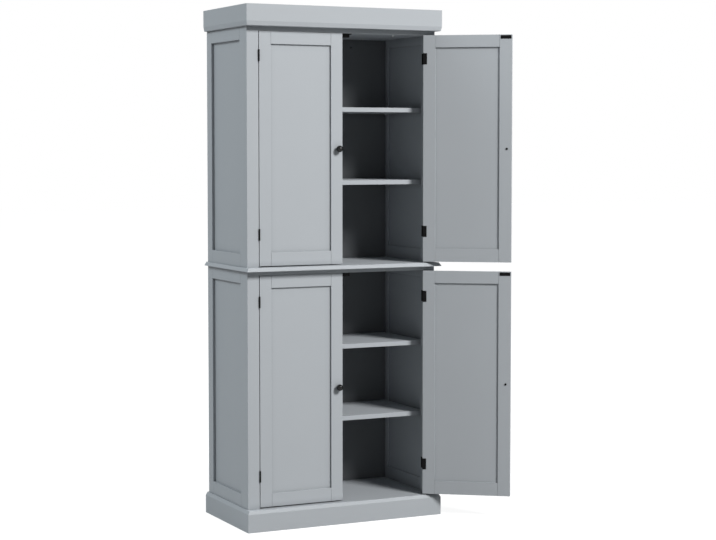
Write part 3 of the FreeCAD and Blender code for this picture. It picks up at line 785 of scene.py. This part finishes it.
# %% [markdown]
# ## Magnetic catches
# Behind each door's top corner sits a small catch: a moulded housing with two ears for its screws, and
# in its mouth a magnet between two steel pole plates, which meet the strike plate on the door. The
# plain solid is only the block. Here the housing gets its mouth and its screw holes by taking boxes
# and bars away from it, and a Bevel modifier rounds its edges as a mould would.

# %% Trees of the catches
catch_sizes = ("Length", "Body Length", "Depth", "Height", "Ear Thickness", "Hole Radius", "Wall", "Plate",
               "Set Back")
hole_corners = 24
mouth_room = 0.2
plate_room = 0.1


def slab(tree, width, near, far, low, high):
    """Box about the middle plane, between two depths and two heights."""
    return shifted(box_of(tree, width, far - near, high - low), 0.0, (near + far) * 0.5, (low + high) * 0.5)


def make_housing_tree():
    """Tree of a housing, with its origin in the middle of the mouth's top edge and Y to the back."""
    tree, given, made = new_geometry_tree("catch_housing", catch_sizes)
    length, body, depth, height, ear, hole, wall, _, set_back = [given[label] for label in catch_sizes]
    block = slab(tree, body, set_back, depth, -height, 0.0)
    ears = slab(tree, length, wall, depth - wall, -ear, 0.0)
    mouth = slab(tree, body - wall * 2.0, -wall, depth - wall * 2.0, wall - height, -ear)
    ear_middle = (length + body) * 0.25
    holes = [shifted(round_bar(tree, hole, height, hole_corners), ear_middle * side, depth * 0.5, 0.0)
             for side in (-1.0, 1.0)]
    shell = combined("DIFFERENCE", combined("UNION", block, ears), mouth, *holes)
    set_copies(given, made, shell, aimed(tree, "Z", "AUTO"))
    return tree


def make_magnet_tree():
    """Tree of the magnet and its two pole plates, which fill the housing's mouth with a little room."""
    tree, given, made = new_geometry_tree("catch_magnet", catch_sizes)
    _, body, depth, height, ear, _, wall, plate, _ = [given[label] for label in catch_sizes]
    width = body - wall * (2.0 + 2 * mouth_room)
    far = depth - wall * (2.0 + plate_room)
    low = wall * (1.0 + plate_room) - height
    high = -ear - wall * plate_room
    plates = [slab(tree, width, 0.0, far, low, low + plate), slab(tree, width, 0.0, far, high - plate, high)]
    magnet = slab(tree, width - wall, wall, far, low + plate, high - plate)
    set_copies(given, made, combined("UNION", magnet, *plates), aimed(tree, "Z", "AUTO"))
    return tree


housing_tree = make_housing_tree()
magnet_tree = make_magnet_tree()

# %% Catches under the top panels
ear_length = 0.009
moulding = {"Ear Thickness": 0.003, "Hole Radius": 0.0013, "Wall": 0.001, "Plate": 0.0012, "Set Back": 0.0004}
moulded_radius = 0.00025
moulded_steps = 2

blocks = loose_parts("magnetic_catches")
lows = [block.min(axis=0) for block in blocks]
highs = [block.max(axis=0) for block in blocks]
places = [((low[0] + high[0]) / 2, low[1], high[2]) for low, high in zip(lows, highs)]
upwards = [(0, 0, 1)] * len(places)
values = rounded(dict(zip(("Length", "Depth", "Height"), highs[0] - lows[0])))
values["Body Length"] = values["Length"] - 2 * ear_length
values.update(moulding)
mesh = made_real("catch_housings", housing_tree, places, upwards, values, black_plastic)
replaced = ["magnetic_catches"]
housings = new_piece("catch_housings", [mesh], black_plastic, "cabinet", replaced)
rounding = housings.modifiers.new("moulded_edges", "BEVEL")
rounding.width = moulded_radius
rounding.segments = moulded_steps
rounding.limit_method = "ANGLE"
mesh = made_real("catch_magnets", magnet_tree, places, upwards, values, black_metal)
new_piece("catch_magnets", [mesh], black_metal, "cabinet")

# %% [markdown]
# ## Knobs
# Each door has a black ball knob on a short waist and a collar, turned from metal and lacquered. It is
# a shape of revolution: half of its outline is drawn once, from the screw's seat to the front of the
# ball, and swept round its axis. Sixty-four steps keep the highlight round close up.

# %% Outline of a knob
knob_radius = 0.0118
knob_height = 0.026
waist_radius = 0.0042
waist_bend = 2.2
waist_steps = 6
collar_radius = 0.007
collar_height = 0.002
collar_round = 0.0005
round_steps, ball_steps, knob_steps = 3, 40, 64
behind, beside, ahead = 180, 90, 0


def arc(centre_radius, centre_height, size, start, end, steps):
    """Points of an arc between two angles, given as turns away from the front."""
    turns = [math.radians(start + (end - start) * step / steps) for step in range(steps + 1)]
    return [(centre_radius + size * math.sin(turn), centre_height + size * math.cos(turn)) for turn in turns]


def knob_outline():
    """Radius and height of the points of half the knob, from the seat to the front."""
    ball_centre = knob_height - knob_radius
    meeting = math.asin(waist_radius / knob_radius)
    waist_end = ball_centre - knob_radius * math.cos(meeting)
    flat_radius = collar_radius - collar_round
    points = [(0.0, 0.0)]
    points += arc(flat_radius, collar_round, collar_round, behind, beside, round_steps)
    points += arc(flat_radius, collar_height - collar_round, collar_round, beside, ahead, round_steps)
    for step in range(1, waist_steps):
        share = step / waist_steps
        radius = waist_radius + (flat_radius - waist_radius) * (1 - share) ** waist_bend
        points.append((radius, collar_height + (waist_end - collar_height) * share))
    return points + arc(0.0, ball_centre, knob_radius, behind - math.degrees(meeting), ahead, ball_steps)


outline = knob_outline()
print("knob outline:", len(outline), "points")


# %% Knobs on the doors
def swept(name, outline, seat, axis):
    """Closed mesh from an outline swept round an axis, which starts at the seat."""
    side = axis.orthogonal().normalized()
    across = axis.cross(side)
    turns = [2 * math.pi * step / knob_steps for step in range(knob_steps)]
    spokes = [side * math.cos(turn) + across * math.sin(turn) for turn in turns]
    points = [seat + axis * outline[0][1]]
    for radius, height in outline[1:-1]:
        points += [seat + axis * height + spoke * radius for spoke in spokes]
    points.append(seat + axis * outline[-1][1])
    faces = []
    last_ring = len(points) - 1 - knob_steps
    for step in range(knob_steps):
        after = (step + 1) % knob_steps
        faces.append((0, 1 + after, 1 + step))
        for start in range(1, last_ring, knob_steps):
            faces.append((start + step, start + after, start + knob_steps + after, start + knob_steps + step))
        faces.append((last_ring + step, last_ring + after, len(points) - 1))
    mesh = bpy.data.meshes.new(name)
    mesh.from_pydata([tuple(point) for point in points], [], faces)
    return mesh


def door_outward(door):
    """Direction in which a door's show face looks at rest."""
    panel = loose_parts(door + "_panel")[0]
    knob = np.concatenate(loose_parts(door + "_knob"))
    thin = np.linalg.svd(panel - panel.mean(axis=0), full_matrices=False)[2][2]
    return Vector(thin if thin @ (knob.mean(axis=0) - panel.mean(axis=0)) > 0 else -thin)


def knob_seat(door, axis):
    """Middle of the face on which a knob stands."""
    points = np.concatenate(loose_parts(door + "_knob"))
    upright = Vector((0, 0, 1))
    seat = axis * float((points @ np.array(axis)).min())
    for direction in (upright, axis.cross(upright)):
        reach = points @ np.array(direction)
        seat += direction * float(reach.min() + reach.max()) / 2
    return seat


for door in doors:
    axis = door_outward(door)
    mesh = swept(door + "_knob", outline, knob_seat(door, axis), axis)
    new_piece(door + "_turned_knob", [mesh], black_gloss, door, [door + "_knob"])
